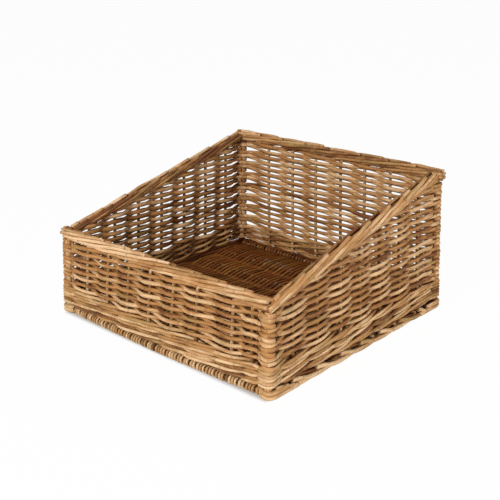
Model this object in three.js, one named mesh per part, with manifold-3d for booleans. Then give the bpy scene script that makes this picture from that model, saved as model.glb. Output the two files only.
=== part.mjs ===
// Wicker display basket: a square willow tray with a low front, a tall back and sloping sides.
// Millimetres, +Z up. The origin is the middle of the flat underside. The low front faces -Y.
import * as THREE from 'three';
import { mergeVertices } from 'three/addons/utils/BufferGeometryUtils.js';
import Module from 'manifold-3d';

const wasm = await Module();
wasm.setup();

// Driving dimensions of the basket
const stakeSpanX = 378; // between the left and right stake planes, at the floor
const stakeSpanY = 366; // between the front and back stake planes, at the floor
const frontHeight = 128; // top of the front rim
const backHeight = 208; // top of the back rim
const wallLean = 0.032; // each wall leans in by this much per millimetre of height

// Rods
const stakeDiameter = 6;
const postDiameter = 11;
const weaverDiameter = 4.5;
const waleRodDiameter = 6.3;
const baseStickDiameter = 7;
const edgeRodDiameter = 6;
const rimRodDiameter = 8.6;

// Weaving
const rowPitch = 4.8; // height of one woven row
const turnEase = 3.4; // a rod takes this many times its offset to come back to the stake plane
const waleRounds = 4;
const waleRoundPitch = 6.6;
const rowsPerPostWrap = 2; // woven rows to one turn of the rod that is wound round a corner post
const baseStickCount = 8;
const baseRodPitch = 5.3; // from one turn of rod round the outer base sticks to the next
const baseRodRelief = 1.3; // depth of the grooves between these turns
const baseStripPitch = 14; // width of one woven strip, which stands for two or three base rods
const baseStripRest = 2.5; // half the length of the flat on which a strip rests under a stick
const baseEdgeWidth = 7; // solid edge of the base under the left and right walls
const rimLay = 170; // length in which the three rim rods go once round each other
const rimOverhang = 11; // how far the front and back rims run past the corner posts

// Bay widths between neighbouring stakes, as woven, from left to right or from front to back
const frontBays = [46, 45, 43, 43, 44, 43, 61, 31, 24];
const backBays = [61, 51, 48, 49, 46, 46, 50, 29];
const leftBays = [38, 48, 47, 48, 49, 49, 48, 41];
const rightBays = [43, 47, 48, 43, 45, 47, 48, 47];

// Clearances
const fitGap = 0.3; // between a rod and the piece that it passes or rests on
const socketDepth = 12; // how far the corner posts stand down into the base
const cutRunOut = 1; // how far a cutting shape runs past the face that it opens
const joinRunIn = 1; // how far the woven strips run into the frame that they are joined to
const rimRodSink = 0.54; // how far the three rim rods press into each other

// Faceting of the round rods
const weaverSides = 4;
const stakeSides = 8;
const postSides = 6;
const edgeRodSides = 6;
const rimLobePoints = 3;
const rimLobeShare = 1.35; // arc of each rim rod that shows, against a third of the way round
const rimStep = 17;
const mergeDistance = 1e-4; // corners nearer than this are one corner of a solid

// Sizes that follow from the ones above
const stakeRadius = stakeDiameter / 2;
const postRadius = postDiameter / 2;
const weaverRadius = weaverDiameter / 2;
const waleRadius = waleRodDiameter / 2;
const stickRadius = baseStickDiameter / 2;
const edgeRodRadius = edgeRodDiameter / 2;
const rimRodRadius = rimRodDiameter / 2;
const baseThickness = baseStickDiameter + 2 * weaverDiameter;
const rimCentreRadius = (2 * rimRodRadius) / Math.sqrt(3) - rimRodSink;
const rimRopeRadius = rimCentreRadius + rimRodRadius;
const waleBottom = baseThickness + fitGap;
const weaveBottom = waleBottom + waleRounds * waleRoundPitch;
const wrapRadius = postRadius + (fitGap + weaverRadius) / Math.cos(Math.PI / postSides);
const wrapReach = wrapRadius + weaverRadius;
const postWrapPitch = rowsPerPostWrap * rowPitch;

// Colours and finish of the willow
function willow(name, color, roughness) {
  return new THREE.MeshStandardMaterial({ name, color, roughness, metalness: 0 });
}
const paint = {
  stake: () => willow('stake', 0x8a5a30, 0.65),
  post: () => willow('post', 0x9a6a3a, 0.6),
  weaver: () => willow('weaver', 0xb9853f, 0.55),
  wale: () => willow('wale', 0xc1904c, 0.55),
  base: () => willow('base', 0x6f4422, 0.7),
  rim: () => willow('rim', 0xc79a58, 0.5),
};

// A path through fixed stations. Its cross-section keeps one side to a chosen reference
// direction, and a lay turns the cross-section once in so many millimetres.
class StationPath extends THREE.Curve {
  constructor(stations, reference, lay = 0) {
    super();
    this.stations = stations;
    this.reference = reference;
    this.lay = lay;
  }

  getPoint(t, target = new THREE.Vector3()) {
    const place = t * (this.stations.length - 1);
    const index = Math.min(Math.floor(place), this.stations.length - 2);
    return target.lerpVectors(this.stations[index], this.stations[index + 1], place - index);
  }

  getSpacedPoints() {
    return this.stations.map((station) => station.clone());
  }

  computeFrenetFrames() {
    const last = this.stations.length - 1;
    const frames = { tangents: [], normals: [], binormals: [] };
    let travelled = 0;
    this.stations.forEach((station, index) => {
      const ahead = this.stations[Math.min(index + 1, last)];
      const behind = this.stations[Math.max(index - 1, 0)];
      const towards = index < last ? ahead.clone().sub(station).normalize() : new THREE.Vector3();
      const from = index > 0 ? station.clone().sub(behind).normalize() : new THREE.Vector3();
      const tangent = towards.add(from).normalize();
      const reference = typeof this.reference === 'function' ? this.reference(index) : this.reference;
      const normal = reference.clone().addScaledVector(tangent, -reference.dot(tangent)).normalize();
      travelled += index > 0 ? station.distanceTo(behind) : 0;
      const turn = this.lay > 0 ? (2 * Math.PI * travelled) / this.lay : 0;
      normal.applyAxisAngle(tangent, turn);
      frames.tangents.push(tangent);
      frames.normals.push(normal);
      frames.binormals.push(new THREE.Vector3().crossVectors(tangent, normal));
    });
    return frames;
  }
}

// A closed tube of a given cross-section along stations
function tube(stations, section, reference, lay = 0) {
  const extrudePath = new StationPath(stations, reference, lay);
  const steps = stations.length - 1;
  return new THREE.ExtrudeGeometry(section, { steps, bevelEnabled: false, extrudePath });
}

// Outline of a round rod with its first corner on the reference side
function roundSection(radius, sides) {
  const outline = new THREE.Shape();
  for (let side = 0; side < sides; side += 1) {
    const angle = (2 * Math.PI * side) / sides;
    const x = radius * Math.cos(angle);
    const y = radius * Math.sin(angle);
    if (side === 0) outline.moveTo(x, y);
    else outline.lineTo(x, y);
  }
  outline.closePath();
  return outline;
}

// Outline of three rods lying against each other, as one closed line round the outside
function threeRodSection(rodRadius, centreRadius) {
  const outline = new THREE.Shape();
  const spread = (2 * Math.PI) / 3;
  for (let lobe = 0; lobe < 3; lobe += 1) {
    const middle = lobe * spread;
    for (let point = 0; point < rimLobePoints; point += 1) {
      const angle = middle + spread * (point / (rimLobePoints - 1) - 0.5) * rimLobeShare;
      const x = centreRadius * Math.cos(middle) + rodRadius * Math.cos(angle);
      const y = centreRadius * Math.sin(middle) + rodRadius * Math.sin(angle);
      if (lobe === 0 && point === 0) outline.moveTo(x, y);
      else outline.lineTo(x, y);
    }
  }
  outline.closePath();
  return outline;
}

// Turns a closed geometry into a manifold solid and back
function toSolid(geometry) {
  const bare = geometry.clone();
  bare.deleteAttribute('normal');
  bare.deleteAttribute('uv');
  const merged = mergeVertices(bare, mergeDistance);
  const vertProperties = new Float32Array(merged.attributes.position.array);
  const triVerts = new Uint32Array(merged.index.array);
  return new wasm.Manifold(new wasm.Mesh({ numProp: 3, vertProperties, triVerts }));
}

function toGeometry(solid) {
  const mesh = solid.getMesh();
  const geometry = new THREE.BufferGeometry();
  geometry.setAttribute('position', new THREE.BufferAttribute(mesh.vertProperties, 3));
  geometry.setIndex(new THREE.BufferAttribute(mesh.triVerts, 1));
  geometry.computeVertexNormals();
  return geometry;
}

// The four walls. u runs along the wall, z up and n outwards from the plane of the stakes.
const makeWall = (name, along, outward, span, otherSpan, bays, startHeight, endHeight) => {
  const total = bays.reduce((sum, bay) => sum + bay, 0);
  const stakes = [];
  let reached = 0;
  bays.slice(0, -1).forEach((bay) => {
    reached += bay;
    stakes.push(span * (reached / total - 0.5));
  });
  return { name, along, outward, span, planeDistance: otherSpan / 2, stakes, startHeight, endHeight };
};
const axisX = new THREE.Vector3(1, 0, 0);
const axisY = new THREE.Vector3(0, 1, 0);
const axisZ = new THREE.Vector3(0, 0, 1);
const toFront = axisY.clone().negate();
const toLeft = axisX.clone().negate();
const walls = [
  makeWall('front', axisX, toFront, stakeSpanX, stakeSpanY, frontBays, frontHeight, frontHeight),
  makeWall('back', axisX, axisY, stakeSpanX, stakeSpanY, backBays, backHeight, backHeight),
  makeWall('left', axisY, toLeft, stakeSpanY, stakeSpanX, leftBays, frontHeight, backHeight),
  makeWall('right', axisY, axisX, stakeSpanY, stakeSpanX, rightBays, frontHeight, backHeight),
];

// A point of a wall, with the lean of the walls taken in
function wallPoint(wall, u, z, n = 0) {
  const leanIn = wallLean * z;
  const alongWall = (u * (wall.span / 2 - leanIn)) / (wall.span / 2);
  return new THREE.Vector3()
    .addScaledVector(wall.along, alongWall)
    .addScaledVector(wall.outward, wall.planeDistance - leanIn + n)
    .addScaledVector(axisZ, z);
}

// Height of the top of the rim above a place along the wall
function rimTop(wall, u) {
  return THREE.MathUtils.lerp(wall.startHeight, wall.endHeight, u / wall.span + 0.5);
}
const rimUnderside = (wall, u) => rimTop(wall, u) - 2 * rimRopeRadius;

// How far out of the stake plane a rod runs where it passes a stake, so that it stays clear of
// the stake on its way across the narrower bay beside it
function passOffset(rodRadius, bay) {
  const reach = stakeRadius + fitGap + rodRadius;
  return reach / Math.sqrt(1 - ((2 * reach) / bay) ** 2);
}

// One rod that weaves a wall: it runs row by row in front of one stake and behind the next,
// and turns back round the last stake before each corner post or under the sloping rim.
// passSide(stake, row) is +1 outside a stake and -1 inside it.
function weaveWall(wall, rodRadius, bottom, pitch, mostRows, passSide) {
  const turnClear = stakeRadius + fitGap + rodRadius;
  const startEdge = -wall.span / 2 + wrapReach + fitGap + rodRadius;
  const endEdge = wall.span / 2 - wrapReach - fitGap - rodRadius;
  const last = wall.stakes.length - 1;
  const slope = (wall.endHeight - wall.startHeight) / wall.span;
  const rowZ = (row) => bottom + (row + 0.5) * pitch;

  // How far towards the low end a row of this height can run below the rim
  const leastReach = (z) => {
    if (slope === 0) return startEdge;
    const clearance = 2 * (rimRopeRadius + fitGap) + rodRadius;
    return Math.max(startEdge, (z + clearance - wall.startHeight) / slope - wall.span / 2);
  };
  const firstStake = (row) => {
    const lowEnd = leastReach(rowZ(row)) + turnClear;
    return wall.stakes.findIndex((stake) => stake >= lowEnd);
  };
  const narrowBay = (index) => {
    const before = index > 0 ? wall.stakes[index] - wall.stakes[index - 1] : Infinity;
    const after = index < last ? wall.stakes[index + 1] - wall.stakes[index] : Infinity;
    return Math.min(before, after);
  };

  // A turn lies in the stake plane, or nearer to its stake still part of the way out of it
  const turnOffset = (offset, length) => {
    return offset * Math.max(0, 1 - length / (turnEase * Math.abs(offset)));
  };

  let rows = mostRows;
  while (firstStake(rows - 1) < 0) rows -= 1;
  const stations = [];
  for (let row = 0; row < rows; row += 1) {
    const forward = row % 2 === 0;
    const begin = firstStake(forward ? row : Math.min(row + 1, rows - 1));
    const offsetAt = (index, atRow) => {
      return passSide(index, atRow) * passOffset(rodRadius, narrowBay(index));
    };
    const passes = [];
    for (let index = begin; index <= last; index += 1) {
      passes.push(wallPoint(wall, wall.stakes[index], rowZ(row), offsetAt(index, row)));
    }
    stations.push(...(forward ? passes : passes.reverse()));
    if (row === rows - 1) break;
    const turnStake = forward ? last : begin;
    const stakeBefore = begin > 0 ? wall.stakes[begin - 1] + turnClear : startEdge;
    const turnAt = forward ? endEdge : Math.max(leastReach(rowZ(row + 1)), stakeBefore);
    const length = Math.abs(turnAt - wall.stakes[turnStake]);
    [row, row + 1].forEach((atRow) => {
      const n = turnOffset(offsetAt(turnStake, atRow), length);
      stations.push(wallPoint(wall, turnAt, rowZ(atRow), n));
    });
  }
  return tube(stations, roundSection(rodRadius, weaverSides), wall.outward);
}

// How many rows fit on a wall between the wale and the rim at its tall end
function rowCount(wall) {
  const tallest = Math.max(wall.startHeight, wall.endHeight);
  return Math.floor((tallest - 2 * rimRopeRadius - fitGap - weaveBottom) / rowPitch);
}

// One row inside a stake, the next row outside it
const plainSide = (stake, row) => ((stake + row) % 2 === 0 ? 1 : -1);
// Wale strokes run outside two stakes and inside the third, one stake on in each round
const waleSide = (stake, round) => ((stake + round) % 3 === 0 ? -1 : 1);

function makeWeave(wall) {
  return weaveWall(wall, weaverRadius, weaveBottom, rowPitch, rowCount(wall), plainSide);
}

function makeWale(wall) {
  return weaveWall(wall, waleRadius, waleBottom, waleRoundPitch, waleRounds, waleSide);
}

function makeStake(wall, u) {
  const bottom = wallPoint(wall, u, baseThickness + fitGap);
  const lowSide = Math.min(rimUnderside(wall, u - stakeRadius), rimUnderside(wall, u + stakeRadius));
  const top = wallPoint(wall, u, lowSide - fitGap);
  return tube([bottom, top], roundSection(stakeRadius, stakeSides), wall.outward);
}

// Corner posts, at the ends of the front and back walls
const corners = walls.slice(0, 2).flatMap((wall) =>
  [-1, 1].map((end) => ({
    name: `${wall.name}_${end < 0 ? 'left' : 'right'}`,
    axisAt: (z) => wallPoint(wall, (end * wall.span) / 2, z),
    top: wall.startHeight - 2 * rimRopeRadius - fitGap,
  })),
);

function makePost(corner, radius, bottom, top) {
  return tube([corner.axisAt(bottom), corner.axisAt(top)], roundSection(radius, postSides), axisX);
}

// The rod wound round a post, from the base to the rim. Its corners lie over the post's corners.
function makePostWrap(corner) {
  const bottom = baseThickness + fitGap + weaverRadius;
  const top = corner.top - weaverRadius;
  const turns = (top - bottom) / postWrapPitch;
  const steps = Math.floor(turns * postSides);
  const stations = [];
  const outwards = [];
  for (let step = 0; step <= steps; step += 1) {
    const angle = (2 * Math.PI * step) / postSides;
    const z = bottom + (postWrapPitch * step) / postSides;
    const outward = new THREE.Vector3(Math.cos(angle), Math.sin(angle), 0);
    outwards.push(outward);
    stations.push(corner.axisAt(z).addScaledVector(outward, wrapRadius));
  }
  return tube(stations, roundSection(weaverRadius, weaverSides), (index) => outwards[index]);
}

// Rims: three rods laid round each other along the top of each wall
function makeRim(wall) {
  const level = wall.startHeight === wall.endHeight;
  const centreZ = (u) => rimTop(wall, u) - rimRopeRadius;
  const half = wall.span / 2;
  const tilt = Math.abs(wall.endHeight - wall.startHeight) / wall.span;
  const buttGap = rimRopeRadius * (1 + tilt) + fitGap;
  const start = level ? -half - rimOverhang : -half + buttGap;
  const end = level ? half + rimOverhang : half - buttGap;
  const steps = Math.ceil((end - start) / rimStep);
  const stations = [];
  for (let step = 0; step <= steps; step += 1) {
    const u = THREE.MathUtils.lerp(start, end, step / steps);
    stations.push(wallPoint(wall, u, centreZ(u)));
  }
  return tube(stations, threeRodSection(rimRodRadius, rimCentreRadius), axisZ, rimLay);
}

// Base sticks run from left to right. The outer two lie in the front and back edges and end
// at the corner posts.
const baseHalfX = stakeSpanX / 2 + stakeRadius / 2;
const baseHalfY = stakeSpanY / 2 + stickRadius + weaverDiameter;
const stickZ = baseThickness / 2;
function stickY(index) {
  return THREE.MathUtils.lerp(-stakeSpanY / 2, stakeSpanY / 2, index / (baseStickCount - 1));
}

function makeBaseStick(index) {
  const outer = index === 0 || index === baseStickCount - 1;
  const postFace = stakeSpanX / 2 - wallLean * baseThickness - postRadius;
  const half = outer ? postFace - fitGap : baseHalfX;
  return layBaseStick(index, stickRadius, half);
}

function layBaseStick(index, radius, half) {
  const y = stickY(index);
  const ends = [new THREE.Vector3(-half, y, stickZ), new THREE.Vector3(half, y, stickZ)];
  return tube(ends, roundSection(radius, stakeSides), axisZ);
}

// The frame round the woven base. Its front and back carry the turns of rod that go round the
// outer base sticks, as ribs, and its left and right edges carry the side walls.
function makeBaseFrame(innerX, innerY) {
  const turns = Math.round((2 * baseHalfX) / baseRodPitch);
  const pitch = (2 * baseHalfX) / turns;
  const groove = baseHalfY - baseRodRelief;
  const backEdge = [];
  for (let turn = turns; turn > 0; turn -= 1) {
    const right = -baseHalfX + turn * pitch;
    backEdge.push(new THREE.Vector2(right, groove));
    backEdge.push(new THREE.Vector2(right - pitch / 2, baseHalfY));
  }
  backEdge.push(new THREE.Vector2(-baseHalfX, groove));
  const frontEdge = backEdge.map((point) => point.clone().negate());
  const outline = new THREE.Shape([...backEdge, ...frontEdge]);
  const inside = new THREE.Path();
  inside.moveTo(-innerX, -innerY);
  inside.lineTo(-innerX, innerY);
  inside.lineTo(innerX, innerY);
  inside.lineTo(innerX, -innerY);
  inside.closePath();
  outline.holes.push(inside);
  const frame = new THREE.ExtrudeGeometry(outline, { depth: baseThickness, bevelEnabled: false });
  let solid = toSolid(frame);
  for (let index = 0; index < baseStickCount; index += 1) {
    const channel = layBaseStick(index, stickRadius + fitGap, baseHalfX + cutRunOut);
    solid = solid.subtract(toSolid(channel));
  }
  corners.forEach((corner) => {
    const foot = baseThickness - socketDepth - fitGap;
    const socket = makePost(corner, postRadius + fitGap, foot, baseThickness + cutRunOut);
    solid = solid.subtract(toSolid(socket));
  });
  return solid;
}

// Side view of one strip of the base: over the first inner stick where side is 1 and under it
// where side is -1, then the other way at each next stick. It is cut flat where it rests.
function baseStripShape(innerY, side) {
  const half = (weaverDiameter - fitGap) / 2;
  const end = innerY + joinRunIn;
  const middles = [[-end, stickZ]];
  for (let index = 1; index < baseStickCount - 1; index += 1) {
    const way = index % 2 === 1 ? side : -side;
    middles.push([stickY(index), stickZ + way * (stickZ - half)]);
  }
  middles.push([end, stickZ]);
  const above = middles.map(([y, z]) => new THREE.Vector2(y, z + half));
  const below = middles.flatMap(([y, z]) => {
    const rest = z < stickZ ? [-baseStripRest, baseStripRest] : [0];
    return rest.map((shift) => new THREE.Vector2(y + shift, z - half));
  });
  return new THREE.Shape([...below, ...above.reverse()]);
}

// The woven base: strips side by side from front to back in a frame, over one base stick and
// under the next. Neighbouring strips share the plane between them and meet where they cross.
function makeBaseWeave() {
  const innerX = baseHalfX - baseEdgeWidth;
  const innerY = baseHalfY - 2 * (stickRadius + weaverDiameter);
  const strips = Math.round((2 * innerX) / baseStripPitch);
  const planes = [];
  for (let strip = 0; strip <= strips; strip += 1) {
    planes.push(Math.fround(THREE.MathUtils.lerp(-innerX, innerX, strip / strips)));
  }
  planes[0] -= joinRunIn;
  planes[strips] += joinRunIn;
  let solid = makeBaseFrame(innerX, innerY);
  for (let strip = 0; strip < strips; strip += 1) {
    const width = planes[strip + 1] - planes[strip];
    const shape = baseStripShape(innerY, strip % 2 === 0 ? 1 : -1);
    const geometry = new THREE.ExtrudeGeometry(shape, { depth: 1, bevelEnabled: false });
    const place = new THREE.Matrix4().makeBasis(axisY, axisZ, axisX.clone().multiplyScalar(width));
    geometry.applyMatrix4(place.setPosition(planes[strip], 0, 0));
    solid = solid.add(toSolid(geometry));
  }
  return toGeometry(solid);
}

// The stake butts laid along the left and right edges of the base, as one scalloped rod a side
// that dips between the stakes and ends at the corner posts
function makeEdgeRod(wall) {
  const dip = edgeRodRadius / 2;
  const n = baseHalfX - wall.planeDistance + 2 * fitGap + edgeRodRadius;
  const end = wall.span / 2 - postRadius - edgeRodRadius;
  const places = [-end, ...wall.stakes, end];
  const stations = [];
  places.forEach((u, index) => {
    stations.push(wallPoint(wall, u, edgeRodRadius + fitGap + dip, n + dip));
    const next = places[index + 1];
    if (next === undefined) return;
    stations.push(wallPoint(wall, (u + next) / 2, edgeRodRadius + fitGap, n));
  });
  return tube(stations, roundSection(edgeRodRadius, edgeRodSides), wall.outward);
}

const basket = new THREE.Group();
const addPiece = (name, geometry, material) => {
  const mesh = new THREE.Mesh(geometry, material);
  mesh.name = name;
  basket.add(mesh);
};

addPiece('base_weave', makeBaseWeave(), paint.base());
for (let index = 0; index < baseStickCount; index += 1) {
  addPiece(`base_stick_${index + 1}`, makeBaseStick(index), paint.stake());
}
corners.forEach((corner) => {
  const foot = baseThickness - socketDepth;
  addPiece(`corner_post_${corner.name}`, makePost(corner, postRadius, foot, corner.top), paint.post());
  addPiece(`corner_wrap_${corner.name}`, makePostWrap(corner), paint.weaver());
});
walls.forEach((wall) => {
  wall.stakes.forEach((u, index) => {
    addPiece(`stake_${wall.name}_${index + 1}`, makeStake(wall, u), paint.stake());
  });
  addPiece(`wale_${wall.name}`, makeWale(wall), paint.wale());
  addPiece(`weave_${wall.name}`, makeWeave(wall), paint.weaver());
  addPiece(`rim_${wall.name}`, makeRim(wall), paint.rim());
});
walls.slice(2).forEach((wall) => {
  addPiece(`base_edge_rod_${wall.name}`, makeEdgeRod(wall), paint.wale());
});

export default basket;
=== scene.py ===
"""Looks of the willow display basket: every rod of the weave, borders and base as its own swept rod."""

import math
from collections import namedtuple

import bpy
import numpy as np
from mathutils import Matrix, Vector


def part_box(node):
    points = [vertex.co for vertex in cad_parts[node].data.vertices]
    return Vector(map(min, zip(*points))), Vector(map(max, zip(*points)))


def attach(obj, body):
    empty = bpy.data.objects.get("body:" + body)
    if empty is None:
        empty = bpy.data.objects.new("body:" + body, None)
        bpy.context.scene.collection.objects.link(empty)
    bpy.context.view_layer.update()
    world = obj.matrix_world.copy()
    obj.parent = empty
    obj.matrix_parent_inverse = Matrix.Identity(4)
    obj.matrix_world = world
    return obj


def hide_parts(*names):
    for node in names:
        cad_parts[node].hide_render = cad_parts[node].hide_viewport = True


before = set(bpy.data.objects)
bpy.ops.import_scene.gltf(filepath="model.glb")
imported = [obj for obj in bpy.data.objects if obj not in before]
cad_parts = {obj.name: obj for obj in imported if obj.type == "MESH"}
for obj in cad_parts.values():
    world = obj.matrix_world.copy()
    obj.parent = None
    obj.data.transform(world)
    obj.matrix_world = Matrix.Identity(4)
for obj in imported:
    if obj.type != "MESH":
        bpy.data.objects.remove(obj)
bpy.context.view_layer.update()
chance = np.random.default_rng(41)

# Sizes repeated from the part's source, in millimetres
MM = 0.001
SPAN_X = 378.0
SPAN_Y = 366.0
HALF_X = SPAN_X / 2
HALF_Y = SPAN_Y / 2
FRONT_HEIGHT = 128.0
BACK_HEIGHT = 208.0
LEAN = 0.032
BASE_THICK = 16.0
RIM_R = 8.73

# Radii of the rods, in millimetres
STAKE_R = 2.4
POST_R = 4.6
WEAVER_R = 2.35
WALE_R = 2.15
RIM_CORE_R = 4.3
FLOOR_STICK_R = 2.2
BASE_ROD_R = 1.95
TURN_R = 1.67
BACK_TURN_R = 2.4
FOOT_R = 2.4
FILLER_R = 2.8
BUTT_R = 3.1
CORNER_ROD_R = 2.9

# Sides and rings of the swept rods
SIDES = 10
FINE_SIDES = 16
COARSE_SIDES = 8
BAY_STEPS = 8
PASS_STEPS = 2
POST_STEPS = 4
UPRIGHT_RINGS = 14
FILLER_RINGS = 20
STICK_RINGS = 30
LAYERS = ("points", "lay", "tone")
UP = np.array([0.0, 0.0, 1.0])
SIDEWAYS = np.array([1.0, 0.0, 0.0])

# Tones run from 0, dark, to 1, light. A span is a lowest tone and the range above it
ROD_TONES = (0.1, 0.94)
TONE_SHAPE = (2.2, 2.0)
FRONT_TURN_TONES = (0.15, 0.9)
BACK_TURN_TONES = (0.0, 0.45)
BUTT_TONES = (0.35, 0.6)
CORNER_TONES = (0.3, 0.6)
RIM_CORE_TONE = 0.25
# Dark tone of painted shade, for rods that lie in the shade of others
PAINTED_SHADE_TONE = 0.1
LAY_SPREAD = 9000

# Radius of a rod at its butt against the usual one, and what it loses up to the tip
WEAVER_TAPER = (1.1, 0.22)
WALE_TAPER = (1.08, 0.18)
RIM_TAPER = (1.08, 0.22)
STAKE_TAPER = (1.02, 0.07)

# Bulge of the walls in front and elsewhere, and the heights between which it fades
FRONT_BOW = 6.5
SIDE_BOW = 2.0
BOW_FADE = (42.0, 125.0)

# Rows of the weave. A position is a stake or a post that a row passes on its way round
WEAVE_BOTTOM = 42.7
ROW_PITCH = 4.57
ROW_SWING = 0.15
FRONT_ROWS = 15
BACK_ROWS = 31
POSITIONS = 33
FRONT_MIDDLE = 3.5
THICK_SCATTER = 0.05

# How rods pass stakes and posts
PRESS = 0.7
PASS_HALF = 6.0
WEAVER_TALL = 1.03
POST_TALL = 1.28
POST_EASE = 11.0
CORNER_REACH = 12.5
# parts of a row by which each row of a cycle reaches a post higher or lower
POST_SHIFTS = (0.25, -0.08, -0.42, -0.75)
WRAP_ROW = len(POST_SHIFTS) - 1

# Rounds of the wale
WALE_BOTTOM = 16.3
WALE_PITCH = 8.8
WALE_ROUNDS = 3
WALE_RODS = 3
WALE_RISE = 2.2
WALE_CROSS = 2.8
WALE_PROUD = 1.0
WALE_LOOSE = 0.3

# Border rods: distance from the bundle's middle, the length over which the families grow full
# and the right one sags, and the angles in degrees at which they begin
RIM_RING = 6.1
RIM_FULL = 130.0
RIM_SAG = 3.5
RIM_SCATTER = 0.35
RIM_THICK_SCATTER = 0.07
OUTER_BEGINS = -62
INNER_BEGINS = 242
# points of the bend: places along the wall, distances out and heights as parts of those just
# after it, and the heights of a rod that comes up its stake
RIM_BEND = (0.0, 0.6, 6.0)
RIM_BEND_OUT = (0.0, 0.15, 0.6)
RIM_BEND_RISE = (0.1, 0.2, 0.6)
RIM_BEND_UPRIGHT = (-15.0, -10.5, -7.0)

# Base, and how far its filling rods stop short of the corners
BASE_MIDDLE = BASE_THICK / 2
BASE_ROD_PITCH = 3.95
BASE_ROD_SHORT = 6.0
BASE_STICKS = 8
FILLER_SHORT = 4.0

# Bark: the noise values that count, and how far they move the tone, colour and height
NOISE_SPAN = (0.3, 0.7)
GRAIN_SPAN = (0.42, 0.72)
OLIVE_SPAN = (0.52, 0.68)
DRIFT = 0.22
MOTTLE = 0.1
OLIVE_MOST = 0.55
ROUGHNESS = (0.5, 0.7)
GRAIN_HEIGHT = 0.6
MOTTLE_HEIGHT = 0.5
BUD_HEIGHT = 0.9
BUDS_A_METRE = 8.0
BUD_EDGE = (0.006, 0.02)
BUD_STRENGTH = 0.3
SHADES = ("Dark", "Middle", "Light", "Green")

# Studio, in metres. Between the two distances of the footprint the floor turns white
FLOOR_WHITE = 0.97
FOOTPRINT = (0.186, 0.193)
LAMP_AIM = (0.0, 0.0, 0.1)

X_WAY, Y_WAY = np.array([1.0, 0.0]), np.array([0.0, 1.0])
# Directions along and out of the wall, its span, the distance of its stakes, the height of its
# rim at both ends, its number of stakes, and whether the weave runs it forwards
Wall = namedtuple("Wall", "along outward span plane low high stakes forward")
WALLS = {
    "front": Wall(X_WAY, -Y_WAY, SPAN_X, HALF_Y, FRONT_HEIGHT, FRONT_HEIGHT, 8, True),
    "right": Wall(Y_WAY, X_WAY, SPAN_Y, HALF_X, FRONT_HEIGHT, BACK_HEIGHT, 7, True),
    "back": Wall(X_WAY, Y_WAY, SPAN_X, HALF_Y, BACK_HEIGHT, BACK_HEIGHT, 7, False),
    "left": Wall(Y_WAY, -X_WAY, SPAN_Y, HALF_X, FRONT_HEIGHT, BACK_HEIGHT, 7, False),
}
# Height of a wall's rods against round ones, their radius against the usual one, how far they
# stand off the stakes, how far a pass climbs, and how far outer passes lie above inner ones
Weave = namedtuple("Weave", "tall thick apart climb tilt")
WEAVES = {
    "front": Weave(1.04, 1.0, -0.9, 0.65, 0.0),
    "right": Weave(1.09, 1.0, -0.8, 0.5, 0.0),
    "back": Weave(1.05, 1.06, -0.4, 0.3, 0.0),
    "left": Weave(1.18, 1.13, 0.2, 0.4, 0.6),
}
# Bays that a rod of a border's family covers, the angle in degrees at which it ends, how thin
# the bundle starts, and the tones
Family = namedtuple("Family", "bays end thin tones")
# Both families of a border, how far a rod ends proud of those beneath it, its radius, and how
# far the border goes past the ends of its wall
Border = namedtuple("Border", "outer inner proud rod_r low_past high_past")
# Tone spans of the border families: pale for the outer ones, and lower, narrower ones for the inner ones,
# which are painted shade for the rim's inner side, most on the sloping walls
PALE, LEVEL_INNER_PAINTED_SHADE, SLOPE_INNER_PAINTED_SHADE = (0.1, 0.9), (0.0, 0.7), (-0.15, 0.5)
BORDERS = {
    "front": Border(Family(3.9, 96, 1.0, PALE), Family(3.7, 116, 1.0, LEVEL_INNER_PAINTED_SHADE), 0.3, 2.45, 10, 6),
    "right": Border(Family(3.4, 80, 0.75, PALE), Family(3.55, 122, 0.5, SLOPE_INNER_PAINTED_SHADE), 1.6, 2.65, 5, -5),
    "back": Border(Family(3.7, 96, 1.0, PALE), Family(3.5, 116, 1.0, LEVEL_INNER_PAINTED_SHADE), 0.9, 2.5, 10, 14),
    "left": Border(Family(3.4, 80, 0.75, PALE), Family(3.3, 122, 0.5, SLOPE_INNER_PAINTED_SHADE), 1.6, 2.65, 5, -5),
}
# Sides on which a corner lies, and the direction in degrees of the wall before it
Corner = namedtuple("Corner", "side_x side_y facing")
CORNERS = {
    "front_right": Corner(1, -1, -90.0),
    "back_right": Corner(1, 1, 0.0),
    "back_left": Corner(-1, 1, 90.0),
    "front_left": Corner(-1, -1, 180.0),
}
# Strength of the grain of each willow, and its dark, middle, light and green colours
FINISHES = {
    "weaver_willow": (0.5, (0.12, 0.033, 0.006), (0.43, 0.205, 0.066), (0.74, 0.48, 0.25),
                      (0.30, 0.20, 0.06)),
    "wale_willow": (0.45, (0.14, 0.046, 0.01), (0.45, 0.235, 0.083), (0.75, 0.51, 0.28),
                    (0.36, 0.25, 0.085)),
    "rim_willow": (0.5, (0.14, 0.045, 0.012), (0.48, 0.245, 0.088), (0.78, 0.52, 0.29),
                   (0.36, 0.24, 0.08)),
    "stake_willow": (0.5, (0.10, 0.032, 0.007), (0.36, 0.18, 0.062), (0.60, 0.41, 0.20),
                     (0.28, 0.18, 0.05)),
    # The base's palette is darker and redder than the walls': partly the base rods' own colour, partly
    # painted shade for the shaded floor of the basket
    "base_willow_with_painted_shade": (0.5, (0.06, 0.013, 0.001), (0.22, 0.066, 0.010), (0.29, 0.12, 0.024),
                    (0.16, 0.075, 0.012)),
}


def unit(vectors):
    """Vectors divided by their own length."""
    return vectors / np.linalg.norm(vectors, axis=-1, keepdims=True)


def joined(x, y, z):
    """Points from their places along, across and up, any of which may be one number."""
    return np.stack(np.broadcast_arrays(x, y, z), -1)


def summed(steps):
    """Running total of the steps, from zero."""
    return np.concatenate([[0], np.cumsum(steps)])


def gathered(stations, *names):
    """Arrays of the named values of all stations, with nought where a station has none."""
    return [np.array([station.get(name, 0) for station in stations]) for name in names]


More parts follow.
